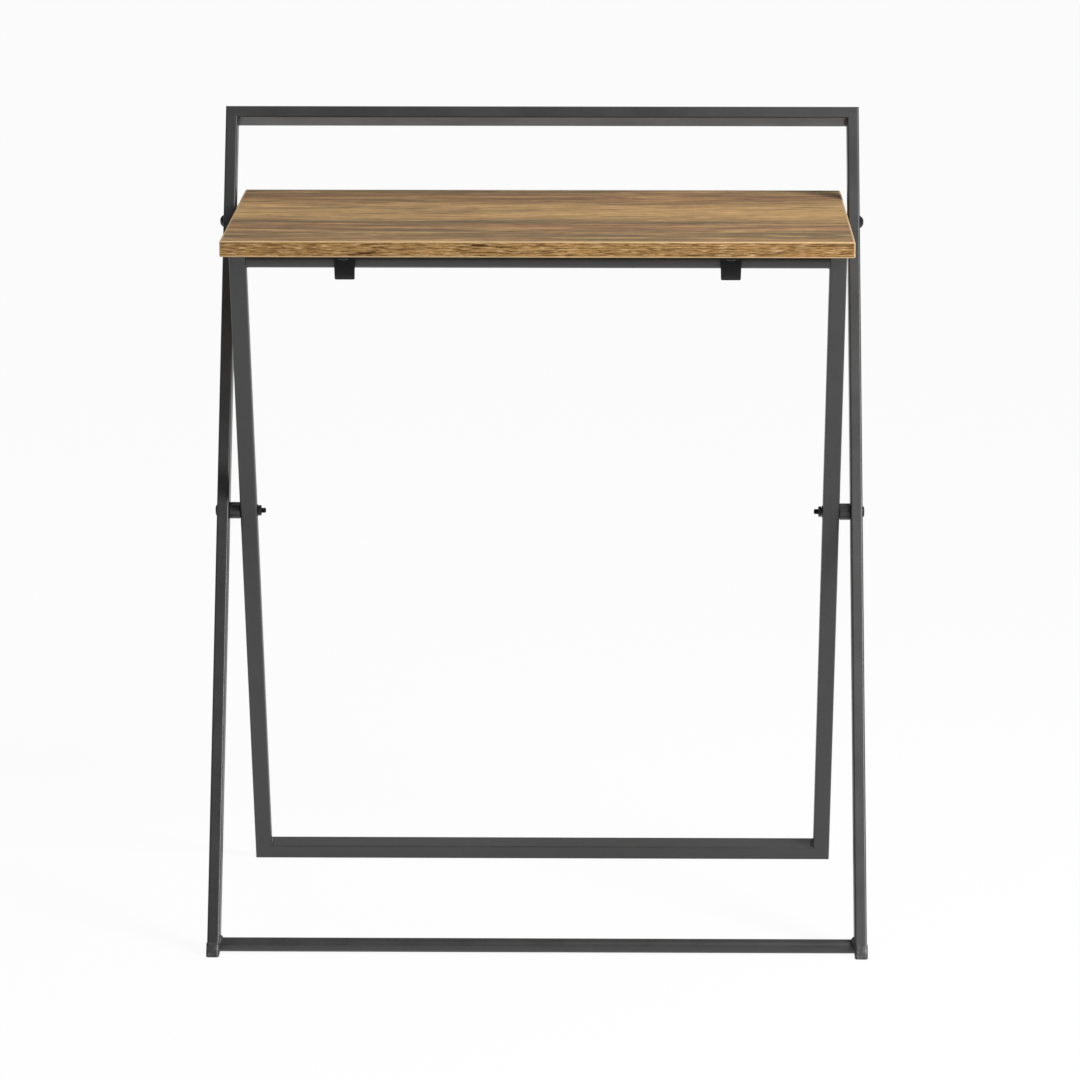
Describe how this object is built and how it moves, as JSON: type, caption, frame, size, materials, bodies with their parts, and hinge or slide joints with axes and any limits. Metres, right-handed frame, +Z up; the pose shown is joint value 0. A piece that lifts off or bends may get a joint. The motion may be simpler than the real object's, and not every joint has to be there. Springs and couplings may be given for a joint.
{
  "type": "folding desk",
  "caption": "Folding desk: two crossed dark tube frames on a middle pivot, with a wood-look board that hinges between the outer legs and hooks over the inner frame's rail.",
  "frame": {"origin": "on the floor under the middle of the desk, straight below the axis where the two frames cross", "axes": "+X to the right seen from the front, -Y to the front where a person sits, +Z up"},
  "size_m": [0.7088, 0.4814, 0.8581],
  "materials": {
    "frame_paint": "satin charcoal powder coat",
    "bracket_paint": "satin black",
    "black_steel": "black finished steel",
    "black_plastic": "moulded black",
    "nylon": "moulded black nylon",
    "board": "brown wood-grain laminate",
    "edge_band": "brown wood-grain edge band"
  },
  "bodies": {
    "outer_frame": {"outer_top_bar": "frame_paint", "outer_cross_bar": "frame_paint", "outer_leg_left": "frame_paint", "outer_leg_right": "frame_paint", "foot_cap_left": "black_plastic", "foot_cap_right": "black_plastic", "pivot_bolt_left": "black_steel", "pivot_bolt_right": "black_steel", "pivot_spacer_left": "black_plastic", "pivot_spacer_right": "black_plastic", "pivot_nut_left": "black_steel", "pivot_nut_right": "black_steel", "hinge_bolt_left": "black_steel", "hinge_bolt_right": "black_steel", "hinge_washer_left": "nylon", "hinge_washer_right": "nylon", "hinge_nut_left": "black_steel", "hinge_nut_right": "black_steel"},
    "inner_frame": {"inner_foot_bar": "frame_paint", "inner_top_rail": "frame_paint", "inner_leg_left": "frame_paint", "inner_leg_right": "frame_paint", "inner_leg_cap_left": "black_plastic", "inner_leg_cap_right": "black_plastic", "pivot_washer_left": "black_steel", "pivot_washer_right": "black_steel"},
    "tabletop": {"board_core": "board", "edge_band_front": "edge_band", "edge_band_back": "edge_band", "edge_band_left": "edge_band", "edge_band_right": "edge_band", "hinge_bracket_left": "bracket_paint", "hinge_bracket_right": "bracket_paint", "bracket_screws_left": "black_steel", "bracket_screws_right": "black_steel", "hook_left": "bracket_paint", "hook_right": "bracket_paint", "hook_screw_left": "black_steel", "hook_screw_right": "black_steel"}
  },
  "joints": [
    {"name": "tabletop_lift", "type": "hinge", "parent": "outer_frame", "child": "tabletop", "pos_m": [0, 0.15133, 0.736], "axis": [-1, 0, 0], "range_deg": [0, 98]},
    {"name": "frame_fold", "type": "hinge", "parent": "outer_frame", "child": "inner_frame", "pos_m": [0, 0, 0.439], "axis": [-1, 0, 0], "range_deg": [0, 51.5]}
  ],
  "couplings": [
    {"joint": "frame_fold", "follows": "tabletop_lift", "ratio": 0.52551}
  ]
}
